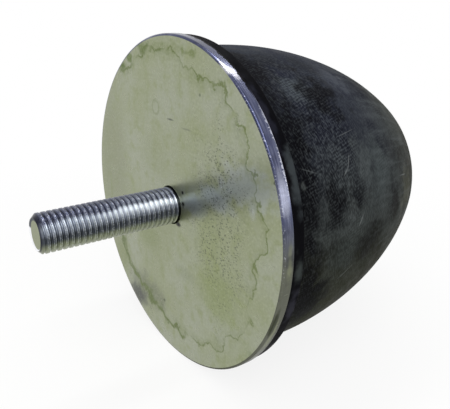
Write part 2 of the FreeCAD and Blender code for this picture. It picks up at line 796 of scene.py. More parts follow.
    def flecks(self, tree: Tree, place: Place) -> Socket:
        """Dark peppering to the right of the stud, drawn coarser than life so that it shows.

        Args:
            tree: The material's nodes.
            place: Where the surface lies.

        Returns:
            The flecks' mask.
        """
        wide = add(tree, "Mapping", {"Vector": place.point, "Scale": self.fleck_cells})
        cells = add(tree, "TexVoronoi", {"Vector": wide, "Scale": 1.0, "Randomness": 1.0})
        dots = add(tree, "MapRange", {0: cells, 1: 0.5, 2: 0.2}, **SMOOTH)
        groups = grain(tree, place.point, 1.2, detail=2, shift=5)
        few = add(tree, "MapRange", {0: groups, 1: 0.38, 2: 0.54}, **SMOOTH)
        soft = grain(tree, place.point, 8, detail=2, shift=9)
        region = spot(tree, place.point, self.fleck_middle, self.fleck_reach, soft, ragged=1.4)
        return product(tree, dots, few, region)

    def crevice(self, tree: Tree, place: Place, fine: Socket) -> Socket:
        """Painted shade: a dark line in the crevice round the stud's foot, wider in places."""
        bite = add(tree, "Math", {0: fine, 1: 0.7, 2: place.out}, operation="MULTIPLY_ADD")
        return add(tree, "MapRange", self.crevice_shade_reach.past(self.hole).over(bite), **SMOOTH)


@dataclass(frozen=True)
class PunchedZincRim(Finish):
    """Zinc plating on the disc's punched edge, burnished along the cut, with rubber smeared on it.

    It gives the eye a violet grey band with fine streaks, bright burrs and a ragged black edge,
    with painted glints on the front edge's burrs, painted highlights, painted shade and a painted
    dark reflection in places.
    The streaks are drawn coarser than the punch leaves them, so that they show. Burrs, drags and
    flash run between angles about the axis, and the rim turns dull and dark below two heights.
    """

    name: str = "zinc_plated_punched_edge"
    violet: str = "#4A4E68"
    pale: str = "#777B92"
    dull: str = "#5D5F50"
    soot: str = "#23242E"
    glint: str = "#D9DBE6"
    drag: str = "#C4C6D4"
    flash: str = "#08080A"
    thickness: float = 3.2
    streak_width: float = 0.3
    streak_stretch: Triple = (18, 1, 18)
    dull_below: Fade = Fade(15, -3)
    dark_below: Fade = Fade(-22, -34)
    burred_edge: Fade = Fade(0.6, 0.25)
    burrs_from: Fade = Fade(-12, 8)
    burrs_to: Fade = Fade(58, 46)
    dragged_edge: Fade = Fade(0.4, 0.8)
    drags_from: Fade = Fade(16, 24)
    drags_to: Fade = Fade(50, 36)
    flash_above: Fade = Fade(42, 52)
    flash_below: Fade = Fade(-30, -42)
    flash_reach: tuple[float, float] = (0.4, 1.1)
    stains: tuple[Stain, ...] = (
        # A darker stretch of the plating at the top, a paler stretch of rubbed plating that is in
        # part a painted highlight, and painted shade along the front edge
        Stain(78, 1.2, 14, 3, "#454961", 0.8),
        Stain(20, 1.4, 9, 2.0, "#8F92A0", 0.6),
        Stain(37, 0.2, 24, 0.7, "#34384E", 0.85, 0.8),
        # A painted highlight at the upper right: pale plating where the top lamp's highlight falls
        Stain(56.5, 1.6, 4.2, 1.4, "#85858D", 1.0, 1.2),
        Stain(59.5, 0.4, 4.0, 1.0, "#CFCFD4", 1.0, 1.2),
        # Dull stretches further down, a painted dark reflection, and painted shade over the unlit
        # bottom
        Stain(0, 1.9, 8, 1.3, "#7A7E67", 0.7),
        Stain(-26, 1.5, 9, 1.0, "#787C62", 0.8),
        Stain(-20, 0.7, 7, 0.8, "#34382A", 0.9),
        Stain(-66, 1.6, 30, 4, "#45483B", 0.9),
    )

    def surface(self, tree: Tree, place: Place) -> Socket:
        """Nodes of the finish, as one shader.

        Args:
            tree: The material's nodes.
            place: Where the surface lies.

        Returns:
            The shader.
        """
        streaks = grain(tree, place.point, self.streak_width, detail=4, stretch=self.streak_stretch)
        cross = grain(tree, place.point, 0.8, stretch=(1, 6, 1), shift=4)
        blotches = grain(tree, place.point, 6, detail=4, shift=2)
        lines = add(tree, "MapRange", {0: streaks, 1: 0.4, 2: 0.75}, **SMOOTH)
        low = add(tree, "MapRange", self.dull_below.over(place.up), **SMOOTH)
        dirty = add(tree, "MapRange", {0: blotches, 1: 0.52, 2: 0.7}, **SMOOTH)
        layers = [Layer(lines, self.pale, 0.8), Layer(low, self.dull, 0.9)]
        layers += patches(tree, place, self.stains, blotches)
        layers.append(Layer(dirty, self.soot, 0.45))
        layers += self.burrs(tree, place)
        flash = self.smear(tree, place)
        layers.append(Layer(flash, self.flash))
        colour = lay(tree, self.violet, layers)
        rough = add(tree, "MapRange", {0: cross, 1: 0.3, 2: 0.7, 3: 0.16, 4: 0.28})
        height = add(tree, "Math", {0: streaks, 1: cross}, operation="ADD")
        bump = add(tree, "Bump", {"Height": height, "Strength": 0.5, "Distance": 0.02 * MM})
        clean = add(tree, "MapRange", {0: low, 3: 1.0, 4: 0.25})
        limits = {**self.dark_below.over(place.up), 3: 1.0, 4: 0.1}
        lit = add(tree, "MapRange", limits, **SMOOTH)
        bare = add(tree, "Math", {0: 1.0, 1: flash}, operation="SUBTRACT")
        metal = product(tree, clean, lit, bare)
        steel = {
            "Base Color": colour,
            "Metallic": metal,
            "Roughness": rough,
            "Specular IOR Level": 0.02,
            "Normal": bump,
        }
        return add(tree, "BsdfPrincipled", steel)

    def burrs(self, tree: Tree, place: Place) -> list[Layer]:
        """Painted glints on burrs along the front edge, and pale drags across the rear one.

        Args:
            tree: The material's nodes.
            place: Where the surface lies.

        Returns:
            A layer for each edge.
        """
        size = grain(tree, place.point, 0.45, detail=2, stretch=(1, 2.5, 1), shift=8)
        sparks = add(tree, "MapRange", {0: size, 1: 0.58, 2: 0.68}, **SMOOTH)
        front = add(tree, "MapRange", self.burred_edge.over(place.along), **SMOOTH)
        bitten = add(tree, "Math", {0: size, 1: 2.0, 2: place.along}, operation="MULTIPLY_ADD")
        rear = self.dragged_edge.past(self.thickness)
        back = add(tree, "MapRange", rear.over(bitten), **SMOOTH)
        limits = (self.burrs_from, self.burrs_to, self.drags_from, self.drags_to)
        upper, right, span, low = [
            add(tree, "MapRange", limit.over(place.turn), **SMOOTH) for limit in limits
        ]
        return [
            # Painted glints on the front edge's burrs
            Layer(product(tree, sparks, front, upper, right), self.glint, 0.35),
            Layer(product(tree, back, span, low), self.drag, 0.9),
        ]

    def smear(self, tree: Tree, place: Place) -> Socket:
        """Thin flash of rubber that crept over the rear edge in the mould.

        Args:
            tree: The material's nodes.
            place: Where the surface lies.

        Returns:
            The flash's mask.
        """
        tongues = grain(tree, place.polar, 2.2, detail=5, stretch=(1, 3, 1), shift=6)
        least, most = self.flash_reach
        reach_in = add(tree, "MapRange", {0: tongues, 1: 0.35, 2: 0.65, 3: least, 4: most})
        limit = add(tree, "Math", {0: self.thickness, 1: reach_in}, operation="SUBTRACT")
        ahead = add(tree, "Math", {0: place.along, 1: limit}, operation="SUBTRACT")
        covered = add(tree, "MapRange", {0: ahead, 1: 0.0, 2: 0.15}, **SMOOTH)
        start = add(tree, "MapRange", self.flash_above.over(place.turn), **SMOOTH)
        under = add(tree, "MapRange", self.flash_below.over(place.turn), **SMOOTH)
        sides = add(tree, "Math", {0: start, 1: under}, operation="MAXIMUM")
        return product(tree, covered, sides)


@dataclass(frozen=True)
class ZincThread(Finish):
    """Zinc plating on the rolled thread of the stud.

    It gives the eye a bluish silver with dark roots, and an olive grey cut end. The surroundings
    that the thread mirrors are painted into its colour as bands at heights above its axis: a painted
    highlight in silver, with painted reflections above and below it, paler towards the foot.
    """

    name: str = "zinc_plated_thread"
    # Painted reflections of the surroundings, by height: silver is a painted highlight, clean its
    # paler painted highlight near the foot, and violet, slate, shade and moss the bands above and
    # below it
    silver: str = "#8D94A0"
    clean: str = "#CDD3DB"
    violet: str = "#4F5366"
    slate: str = "#757B85"
    shade: str = "#4C5157"
    moss: str = "#858B73"
    # Painted shade in the thread's roots and on the chamfer at its end
    root: str = "#23242F"
    rubbed: str = "#DADDE6"
    # Painted glint on the cut end
    glint: str = "#F4F5F8"
    end_grey: str = "#969B82"
    end_along: float = -44.5
    crest: float = 6.0
    root_out: float = 5.5
    end_flat: float = 4.75
    # Where the painted reflection bands and the painted highlight near the foot come in
    towards_foot: Fade = Fade(-34, -7)
    bright_band: Fade = Fade(4.7, 3.7)
    grey_band: Fade = Fade(3.2, 1.6)
    dark_band: Fade = Fade(1.4, 0.2)
    mossy_band: Fade = Fade(-0.7, -3.0)
    shaded_roots: Fade = Fade(0.3, 0.04)
    rooted_above: Fade = Fade(2.4, 4.6)
    rubbed_crests: Fade = Fade(-0.15, -0.02)
    end_face: Fade = Fade(0.12, 0.02)
    end_edge: Fade = Fade(0.6, 0.35)
    crescent_middle: tuple[float, float] = (1.2, 0.3)
    crescent_edge: Fade = Fade(-0.75, -0.45)
    crescent_below: Fade = Fade(1.4, 0.6)

    def surface(self, tree: Tree, place: Place) -> Socket:
        """Nodes of the finish, as one shader.

        Args:
            tree: The material's nodes.
            place: Where the surface lies.

        Returns:
            The shader.
        """
        fine = grain(tree, place.point, 0.5, detail=4)
        around = grain(tree, place.point, 3, stretch=(1, 3, 1), shift=6)
        sway = add(tree, "Math", {0: around, 1: 0.5}, operation="SUBTRACT")
        lift = add(tree, "Math", {0: sway, 1: 2.0, 2: place.up}, operation="MULTIPLY_ADD")
        foot = add(tree, "MapRange", self.towards_foot.over(place.along), **SMOOTH)
        lower = add(tree, "Math", {0: foot, 1: 0.25, 2: lift}, operation="MULTIPLY_ADD")
        # Masks of the painted reflection bands, by height
        bright = add(tree, "MapRange", self.bright_band.over(lower), **SMOOTH)
        grey = add(tree, "MapRange", self.grey_band.over(lift), **SMOOTH)
        dark = add(tree, "MapRange", self.dark_band.over(lift), **SMOOTH)
        under = add(tree, "MapRange", self.mossy_band.over(lift), **SMOOTH)
        roots = self.shaded_roots.past(self.root_out)
        deep = add(tree, "MapRange", roots.over(place.out), **SMOOTH)
        upper = add(tree, "MapRange", {**self.rooted_above.over(lift), 3: 0.25}, **SMOOTH)
        crests = self.rubbed_crests.past(self.crest)
        high = add(tree, "MapRange", crests.over(place.out), **SMOOTH)
        worn = add(tree, "MapRange", {0: fine, 1: 0.45, 2: 0.62}, **SMOOTH)
        face = self.end_face.past(self.end_along)
        end = add(tree, "MapRange", face.over(place.along), **SMOOTH)
        edge = self.end_edge.past(self.end_along)
        near_end = add(tree, "MapRange", edge.over(place.along), **SMOOTH)
        across, up = self.crescent_middle
        middle = (across, self.end_along, up)
        away = add(tree, "VectorMath", {0: place.point, 1: middle}, operation="SUBTRACT")
        far = add(tree, "VectorMath", {0: away}, out=1, operation="LENGTH")
        inner = self.crescent_edge.past(self.end_flat)
        crescent = add(tree, "MapRange", inner.over(far), **SMOOTH)
        low = add(tree, "MapRange", self.crescent_below.over(place.up), **SMOOTH)
        layers = [
            # Painted reflections in bands by height, with a paler painted highlight towards the foot
            Layer(foot, self.slate, 0.6),
            Layer(bright, self.silver),
            Layer(product(tree, bright, foot), self.clean, 0.9),
            Layer(grey, self.slate),
            Layer(dark, self.shade),
            Layer(under, self.moss),
            # Painted shade in the roots, stronger on the upper side
            Layer(product(tree, deep, upper), self.root, 0.85),
            Layer(product(tree, high, worn), self.rubbed, 0.25),
            # Painted shade on the chamfer at the end
            Layer(near_end, self.root, 0.7),
            Layer(end, self.end_grey),
            # A painted glint on the lower part of the end's crescent, and painted shade on the rest
            Layer(product(tree, end, crescent), self.shade),
            Layer(product(tree, end, crescent, low), self.glint),
        ]
        colour = lay(tree, self.violet, layers)
        rough = add(tree, "MapRange", {0: end, 3: 0.3, 4: 0.55})
        bump = add(tree, "Bump", {"Height": fine, "Strength": 0.2, "Distance": 0.03 * MM})
        steel = {"Base Color": colour, "Metallic": 1.0, "Roughness": rough, "Normal": bump}
        return add(tree, "BsdfPrincipled", steel)


@dataclass(frozen=True)
class Scratch:
    """A fine pale line on the rubber: its middle, half length and width, lean and strength."""

    turn: float
    along: float
    length: float
    width: float
    lean: float
    strength: float


@dataclass(frozen=True)
class MouldedRubber(Finish):
    """Black natural rubber, compression moulded, with wax bloom wiped about on it.

    It gives the eye a soft charcoal with blue grey clouds, a painted blue sheen on its top, a painted
    olive reflection of the ground on its underside, painted shade on the dome's foot, and fine wipe
    marks. The marks are drawn coarser than the cloth's threads, so that they show. The painted sheen
    lies above a height and the painted reflection below one, and the flank, the nose and the streaks
    lie along the axis.
    """

    name: str = "moulded_natural_rubber"
    black: str = "#08080B"
    bloom: str = "#373B3B"
    # Painted sheen on the top, and painted reflection of the ground on the underside
    blue: str = "#272A36"
    olive: str = "#2A2B1B"
    tan: str = "#3A3B30"
    pale: str = "#62686A"
    scuff: str = "#8A8F90"
    groove_from: float = 7.3
    mean_radius: float = 48.0
    cloud_width: float = 13.0
    smear_width: float = 4.0
    pore_width: float = 0.7
    # Where the painted blue sheen on top and the painted olive reflection of the ground lie
    blue_above: Fade = Fade(5, 38)
    olive_below: Fade = Fade(10, -24)
    blue_flank: Fade = Fade(74, 40)
    tan_nose: Fade = Fade(50, 82)
    flange: Fade = Fade(0.3, 0.0)
    stroke_width: float = 0.45
    return_width: float = 0.55
    comb_spacing: float = 0.85
    comb_lean: float = 15.0
    comb_strength: float = 0.16
    combed_width: float = 9.0
    wiped_middle: Triple = (36, 25, 0)
    wiped_reach: Triple = (44, 15, ANY)
    streak_width: float = 2.2
    streaks_from: Fade = Fade(36, 50)
    streaks_to: Fade = Fade(90, 66)
    stains: tuple[Stain, ...] = (
        # Clouds of bloom, and black patches where it was rubbed off
        Stain(52, 23, 9, 7, "#454B50", 0.8),
        Stain(20, 46, 16, 8, "#3D4344", 0.7),
        Stain(-6, 27, 9, 9, "#363B39", 0.6),
        Stain(24, 37, 11, 6, "#464B4C", 0.7),
        Stain(13, 22, 12, 5, "#08080B", 0.75, 2.2),
        Stain(38, 15, 11, 5, "#08080B", 0.8),
        Stain(49, 31, 13, 11, "#07070C", 0.9, 2.2),
        Stain(66, 14, 13, 5, "#0B0B11", 0.8),
        Stain(9, 29.5, 7, 3.5, "#3F4343", 0.7),
        Stain(57, 43, 9, 8, "#474B53", 0.6),
        Stain(6, 68, 14, 9, "#4A4B3D", 0.6),
        Stain(-20, 18.5, 11, 7, "#060606", 0.85, 2.2),
        Stain(66, 34, 12, 9, "#15171C", 0.6),
        Stain(-6, 38, 9, 10, "#101110", 0.6, 2.2),
        Stain(-26, 18, 14, 9, "#0B0C0A", 0.8),
        # Painted shade on the dome's foot beside the flange, reaching further up at its top
        Stain(28, 12.5, 50, 6, "#08080B", 0.9),
        Stain(64, 13, 26, 8, "#0A0A0E", 0.85, 1.0),
        Stain(-20, 14, 30, 7, "#08080B", 0.8),
        Stain(68, 22, 12, 10, "#111217", 0.6),
        # A pale scuff on that foot
        Stain(20.5, 11.8, 2.0, 1.0, "#6A6F6E", 0.25, 4.0),
    )
    dark_patches: tuple[Stain, ...] = (
        # Laid over the wipe marks, where the bloom is gone
        Stain(49, 30, 14, 12, "#07070C", 0.5, 2.4),
        Stain(40, 17, 12, 6, "#08080B", 0.4, 2.4),
        Stain(10, 22, 12, 7, "#08080B", 0.35, 2.4),
        Stain(-20, 19, 15, 10, "#060606", 0.35, 2.4),
    )
    bloom_marks: tuple[Stain, ...] = (
        # Bloom on the flange
        Stain(22, 6.1, 12, 2.4, "#3C4144", 0.75, 2.2),
        Stain(-2, 5.9, 7, 2.2, "#3A3F3E", 0.8, 2.0),
        Stain(-14, 5.6, 8, 2.2, "#2B2B33", 0.8, 2.6),
        Stain(42, 4.2, 14, 1.8, "#1F2029", 0.7, 2.4),
    )
    scratches: tuple[Scratch, ...] = (
        Scratch(24.5, 30.5, 3.4, 0.36, 25, 0.28),
        Scratch(21.5, 28.5, 2.0, 0.36, 48, 0.28),
        Scratch(34, 33, 6.5, 0.28, 78, 0.2),
        Scratch(4, 33.5, 2.6, 0.36, 33, 0.3),
        Scratch(14, 63, 5.0, 0.35, 95, 0.3),
        Scratch(-14, 30, 5.0, 0.3, 62, 0.2),
        Scratch(24, 15, 4.5, 0.22, 112, 0.12),
    )

    def surface(self, tree: Tree, place: Place) -> Socket:
        """Nodes of the finish, as one shader.

        Args:
            tree: The material's nodes.
            place: Where the surface lies.

        Returns:
            The shader.
        """
        clouds = grain(tree, place.point, self.cloud_width, detail=5, shift=1)
        smears = grain(tree, place.point, self.smear_width, detail=6, shift=3)
        fine = grain(tree, place.point, self.pore_width)
        degree = math.radians(self.mean_radius)  # millimetres of arc in it
        arc = add(tree, "Math", {0: place.turn, 1: degree}, operation="MULTIPLY")
        sheet = add(tree, "CombineXYZ", {0: arc, 1: place.along})
        cloudy = add(tree, "MapRange", {0: clouds, 1: 0.36, 2: 0.64}, **SMOOTH)
        upper = add(tree, "MapRange", self.blue_above.over(place.up), **SMOOTH)
        under = add(tree, "MapRange", self.olive_below.over(place.up), **SMOOTH)
        flank = add(tree, "MapRange", self.blue_flank.over(place.along), **SMOOTH)
        nose = add(tree, "MapRange", self.tan_nose.over(place.along), **SMOOTH)
        layers = [
            Layer(cloudy, self.bloom),
            # A painted sheen on the top of the flank, and a painted olive reflection of the ground
            # below
            Layer(product(tree, upper, flank), self.blue, 0.7),
            Layer(under, self.olive, 0.8),
            Layer(nose, self.tan, 0.5),
        ]
        layers += patches(tree, place, self.stains, smears, solid=0.2)
        layers += self.wipe_marks(tree, place, sheet, smears)
        layers += patches(tree, place, self.dark_patches, smears, solid=0.2)
        for scratch in self.scratches:
            mask = self.scratch_mask(tree, sheet, scratch, smears)
            layers.append(Layer(mask, self.scuff, scratch.strength))
        edge = self.flange.past(self.groove_from)
        flange = add(tree, "MapRange", edge.over(place.along), **SMOOTH)
        layers.append(Layer(flange, self.black))
        layers += patches(tree, place, self.bloom_marks, smears, solid=0.2)
        colour = lay(tree, self.black, layers)
        rough = add(tree, "MapRange", {0: smears, 1: 0.3, 2: 0.7, 3: 0.45, 4: 0.65})
        bump = add(tree, "Bump", {"Height": fine, "Strength": 0.35, "Distance": 0.04 * MM})
        rubber = {
            "Base Color": colour,
            "Roughness": rough,
            "Normal": bump,
            "Specular IOR Level": 0.012,
        }
        return add(tree, "BsdfPrincipled", rubber)

    def wipe_marks(self, tree: Tree, place: Place, sheet: Socket, smears: Socket) -> list[Layer]:
        """Fine hatching where a cloth went over the bloom, and fainter streaks towards the tip.

        Args:
            tree: The material's nodes.
            place: Where the surface lies.
            sheet: The surface laid flat, in millimetres about the axis and along it.
            smears: Noise that breaks up the edge of the wiped patch.

        Returns:
            The layers, the lowest first.
        """
        strokes = grain(tree, sheet, self.stroke_width, stretch=(3.5, 1, 1), lean=20)
        returns = grain(tree, sheet, self.return_width, stretch=(1, 3, 1), lean=32, shift=12)
        crossed = add(tree, "Math", {0: returns, 1: 0.6, 2: strokes}, operation="MULTIPLY_ADD")
        leaning = (0, 0, math.radians(self.comb_lean))
        turned = add(tree, "Mapping", {"Vector": sheet, "Rotation": leaning})
        wave = {
            "Vector": turned,
            "Scale": ONE_RIDGE / self.comb_spacing,
            "Distortion": 7.0,
            "Detail": 3.0,
            "Detail Scale": 0.4,
        }
        ridge = add(tree, "TexWave", wave, out="Fac")
        areas = grain(tree, sheet, self.combed_width, detail=2, shift=31)
        combed = {0: areas, 1: 0.45, 2: 0.6, 4: self.comb_strength}
        here = add(tree, "MapRange", combed, **SMOOTH)
        centred = add(tree, "Math", {0: ridge, 1: 0.5}, operation="SUBTRACT")
        hatch = add(tree, "Math", {0: centred, 1: here, 2: crossed}, operation="MULTIPLY_ADD")
        hatched = add(tree, "MapRange", {0: hatch, 1: 0.74, 2: 1.02}, **SMOOTH)
        gaps = add(tree, "MapRange", {0: hatch, 1: 0.84, 2: 0.62}, **SMOOTH)
        most = spot(tree, place.polar, self.wiped_middle, self.wiped_reach, smears, 1.0, 0.3)
        region = add(tree, "MapRange", {0: most, 3: 0.4, 4: 1.0})
        streak = grain(tree, sheet, self.streak_width, detail=4, stretch=(1, 9, 1), shift=5)
        drawn = add(tree, "MapRange", {0: streak, 1: 0.48, 2: 0.72}, **SMOOTH)
        past = add(tree, "MapRange", self.streaks_from.over(place.along), **SMOOTH)
        short = add(tree, "MapRange", self.streaks_to.over(place.along), **SMOOTH)
        return [
            Layer(product(tree, hatched, region), self.pale, 0.3),
            Layer(product(tree, gaps, region), self.black, 0.6),
            Layer(product(tree, drawn, past, short), self.pale, 0.2),
        ]

    def scratch_mask(self, tree: Tree, sheet: Socket, scratch: Scratch, smears: Socket) -> Socket:
        """Mask of one scratch, a little bent by the noise.

        Args:
            tree: The material's nodes.
            sheet: The surface laid flat, in millimetres about the axis and along it.
            scratch: The scratch.
            smears: The noise.

        Returns:
            The mask.
        """
        middle = (math.radians(scratch.turn) * self.mean_radius, scratch.along, 0)
        turn = (0, 0, math.radians(scratch.lean))
        placed = {"Vector": sheet, "Location": middle, "Rotation": turn}
        own = add(tree, "Mapping", placed, vector_type="TEXTURE")
        return spot(tree, own, (0, 0, 0), (scratch.length, scratch.width, ANY), smears, 1.2, 0.2)


# The mount's pieces


@dataclass
class BasePlate:
    """Steel disc that is bolted down, with the stud's hole in it."""

    radius: float
    thickness: float
    hole: float = 6.3
    face_round: float = 0.7
    face_facets: int = 5
    edge_round: float = 0.2
    edge_facets: int = 2
    segments: int = 288
    crease: float = 25.0

    @classmethod
    def from_frame(cls) -> "BasePlate":
        """The disc at the size of its solid."""
        _, high = reach(Node.PLATE)
        return cls(radius=high.x, thickness=high.y)

    def build(self) -> Piece:
        """Model the disc: a rectangle beside the axis, its corners bevelled, spun round.

        Returns:
            The finished piece.
        """
        width = self.radius - self.hole
        middle = ((self.hole + width / 2) * MM, self.thickness / 2 * MM, 0)
        bpy.ops.mesh.primitive_plane_add(size=MM, location=middle)
        plate = bpy.context.object
        plate.scale = (width, self.thickness, 1)
        settle(plate, "zinc_disc")
        self.round_corner(plate, Ring(0, self.radius), self.face_round, self.face_facets)
        self.round_corner(plate, Ring(self.thickness, self.radius), self.edge_round, self.edge_facets)
        self.round_corner(plate, Ring(0, self.hole), self.edge_round, self.edge_facets)
        with editing(plate):
            bpy.ops.mesh.select_all(action="SELECT")
            bpy.ops.mesh.delete(type="ONLY_FACE")
        with editing(plate, Select.EDGES):
            bpy.ops.mesh.select_all(action="SELECT")
            bpy.ops.mesh.spin(steps=self.segments, angle=math.tau, center=(0, 0, 0), axis=(0, 1, 0))
        make_solid(plate)
        smooth(plate, self.crease)
        apply_modifier(plate, "WEIGHTED_NORMAL", keep_sharp=True)
        return plate

    def round_corner(self, plate: Piece, corner: Ring, radius: float, facets: int) -> None:
        """Round one corner of the flat section.

        Args:
            plate: The section.
            corner: Where the corner lies.
            radius: The bevel's width on each side.
            facets: How many faces make the round.
        """
        with editing(plate, Select.POINTS):
            select_where(plate, Select.POINTS, on_ring(corner.along, corner.out))
            bpy.ops.mesh.bevel(offset=radius * MM, segments=facets, affect="VERTICES")

    def dress(self, plate: Piece) -> None:
        """Give the face its stained plating and the punched edge its own.

        Args:
            plate: The finished disc.
        """
        coat(plate, StainedZinc(hole=self.hole), PunchedZincRim(thickness=self.thickness))
        flat = self.radius - self.face_round
        for face in plate.data.polygons:
            out = math.hypot(face.center.x, face.center.z) / MM
            face.material_index = 1 if out > flat else 0
        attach(plate, "root")
        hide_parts(Node.PLATE.value)


@dataclass
class ThreadedStud:
    """Screw that stands out of the disc, with a right-hand thread and a head behind the disc."""

    end: float
    head_top: float
    seat: float
    crest: float = 6.0
    root: float = 5.5
    pitch: float = 1.75
    crest_share: float = 0.42
    root_share: float = 0.12
    seam_share: float = 0.2
    seam_depth: float = 0.07
    thread_phase: float = 0.31
    thread_gap: float = 0.3
    runout: float = 0.3
    spare_turns: int = 4
    shank: float = 5.7
    end_flat: float = 4.75
    chamfer_length: float = 1.3
    head_sides: int = 6
    head_flats: float = 18.0
    head_chamfer: float = 30.0
    cone_lead: float = 1.0
    cone_segments: int = 96
    steps: int = 72
    profile_cuts: int = 11
    crease: float = 28.0

    @classmethod
    def from_frame(cls) -> "ThreadedStud":
        """The screw at the size of its solid."""
        low, high = reach(Node.STUD)
        return cls(end=low.y, head_top=high.y, seat=reach(Node.PLATE)[1].y)

    def radius_at(self, share: float) -> float:
        """Radius at a share of one pitch, with the seam that rolling leaves along the crest.

        Args:
            share: How far along the pitch. The crest is in its middle.

        Returns:
            The radius.
        """
        off = abs(share - 0.5) * 2
        start = self.crest_share
        stop = 1 - self.root_share
        fall = min(max((off - start) / (stop - start), 0.0), 1.0)
        seam = self.seam_depth * max(1 - off / self.seam_share, 0.0)
        return self.crest - (self.crest - self.root) * fall - seam

    def build(self) -> Piece:
        """Model the screw: a profile screwed along the axis, turned down to its blank, headed.

        Returns:
            The finished piece.
        """
        full_turns = math.ceil((self.seat - self.end) / self.pitch)
        start = -self.thread_phase - self.pitch * full_turns - self.pitch / 2
        stud = self.profile(start)
        apply_modifier(
            stud,
            "SCREW",
            axis="Y",
            angle=math.tau,
            screw_offset=self.pitch * MM,
            iterations=full_turns + self.spare_turns,
            steps=self.steps,
            render_steps=self.steps,
            use_merge_vertices=True,
            merge_threshold=MERGED * MM,
        )
        blank = self.blank()
        self.cut(stud, self.end, Cleared.TOWARDS_END)
        self.cut(stud, self.seat, Cleared.TOWARDS_HEAD)
        for ring in blank[1:-1]:
            self.cut(stud, ring.along, Cleared.NOTHING)
        self.turn_down(stud, blank)
        make_solid(stud)
        combine(stud, self.head(), "UNION")
        make_solid(stud)
        smooth(stud, self.crease)
        return stud

    def profile(self, start: float) -> Piece:
        """One pitch of the thread's outline, as a line beside the axis.

        Args:
            start: Where the line starts along the axis.

        Returns:
            The line.
        """
        bpy.ops.mesh.primitive_plane_add(size=self.pitch * MM, location=(0, 0, 0))
        line = settle(bpy.context.object, "zinc_stud")
        with editing(line, Select.POINTS):
            select_where(line, Select.POINTS, lambda place: place.x < 0)
            bpy.ops.mesh.delete(type="VERT")
            bpy.ops.mesh.select_all(action="SELECT")
            bpy.ops.mesh.subdivide(number_cuts=self.profile_cuts)
        for point in line.data.vertices:
            share = point.co.y / (self.pitch * MM) + 0.5
            point.co = (self.radius_at(share) * MM, point.co.y + (start + self.pitch / 2) * MM, 0)
        return line

    def cut(self, stud: Piece, along: float, cleared: Cleared) -> None:
        """Cut the thread square across, and close it where one side is taken away.

        Args:
            stud: The thread.
            along: Where it is cut.
            cleared: Which side goes.
        """
        with editing(stud):
            bpy.ops.mesh.select_all(action="SELECT")
            bpy.ops.mesh.bisect(
                plane_co=(0, along * MM, 0),
                plane_no=(0, 1, 0),
                threshold=ON_LEVEL * MM,
                use_fill=cleared is not Cleared.NOTHING,
                clear_inner=cleared is Cleared.TOWARDS_END,
                clear_outer=cleared is Cleared.TOWARDS_HEAD,
            )

    def blank(self) -> list[Ring]:
        """Outline of the bar that the thread is rolled on.

        Returns:
            Its rings, from the chamfered end to the head.
        """
        shoulder = -self.thread_gap
        return [
            Ring(self.end, self.end_flat),
            Ring(self.end + self.chamfer_length, self.crest),
            Ring(shoulder - self.runout, self.crest),
            Ring(shoulder, self.shank),
            Ring(self.seat, self.shank),
        ]

    def turn_down(self, stud: Piece, blank: list[Ring]) -> None:
        """Draw the thread in to the blank's outline at its end, and all of it in the hole.

        Args:
            stud: The thread, cut across at each ring of the outline.
            blank: The outline.
        """
        stretches = list(zip(blank, blank[1:]))
        for point in stud.data.vertices:
            along = min(max(point.co.y / MM, self.end), self.seat)
            out = math.hypot(point.co.x, point.co.z) / MM
            last, ring = next(pair for pair in stretches if along <= pair[1].along + ROUNDING)
            share = max(along - last.along, 0) / (ring.along - last.along)
            limit = last.out + (ring.out - last.out) * share
            if out > limit or along > -self.thread_gap:
                point.co.x *= limit / out
                point.co.z *= limit / out

    def head(self) -> Piece:
        """Hexagon head with its corners chamfered, hidden in the rubber.

        Returns:
            The head as a piece of its own.
        """
        flat = self.head_flats / 2
        corner = flat / math.cos(math.pi / self.head_sides)
        drop = (corner - flat) * math.tan(math.radians(self.head_chamfer))
        rings = [Ring(self.seat, corner), Ring(self.head_top, corner)]
        hexagon = turn_rings("stud_head", rings, self.head_sides)
        cone = [
            Ring(self.seat - self.cone_lead, corner),
            Ring(self.head_top - drop, corner),
            Ring(self.head_top, flat),
        ]
        combine(hexagon, turn_rings("head_turning", cone, self.cone_segments), "INTERSECT")
        return hexagon

    def dress(self, stud: Piece) -> None:
        """Give the screw its plating.

        Args:
            stud: The finished screw.
        """
        finish = ZincThread(
            end_along=self.end, crest=self.crest, root_out=self.root, end_flat=self.end_flat
        )
        coat(stud, finish)
        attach(stud, "root")
        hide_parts(Node.STUD.value)


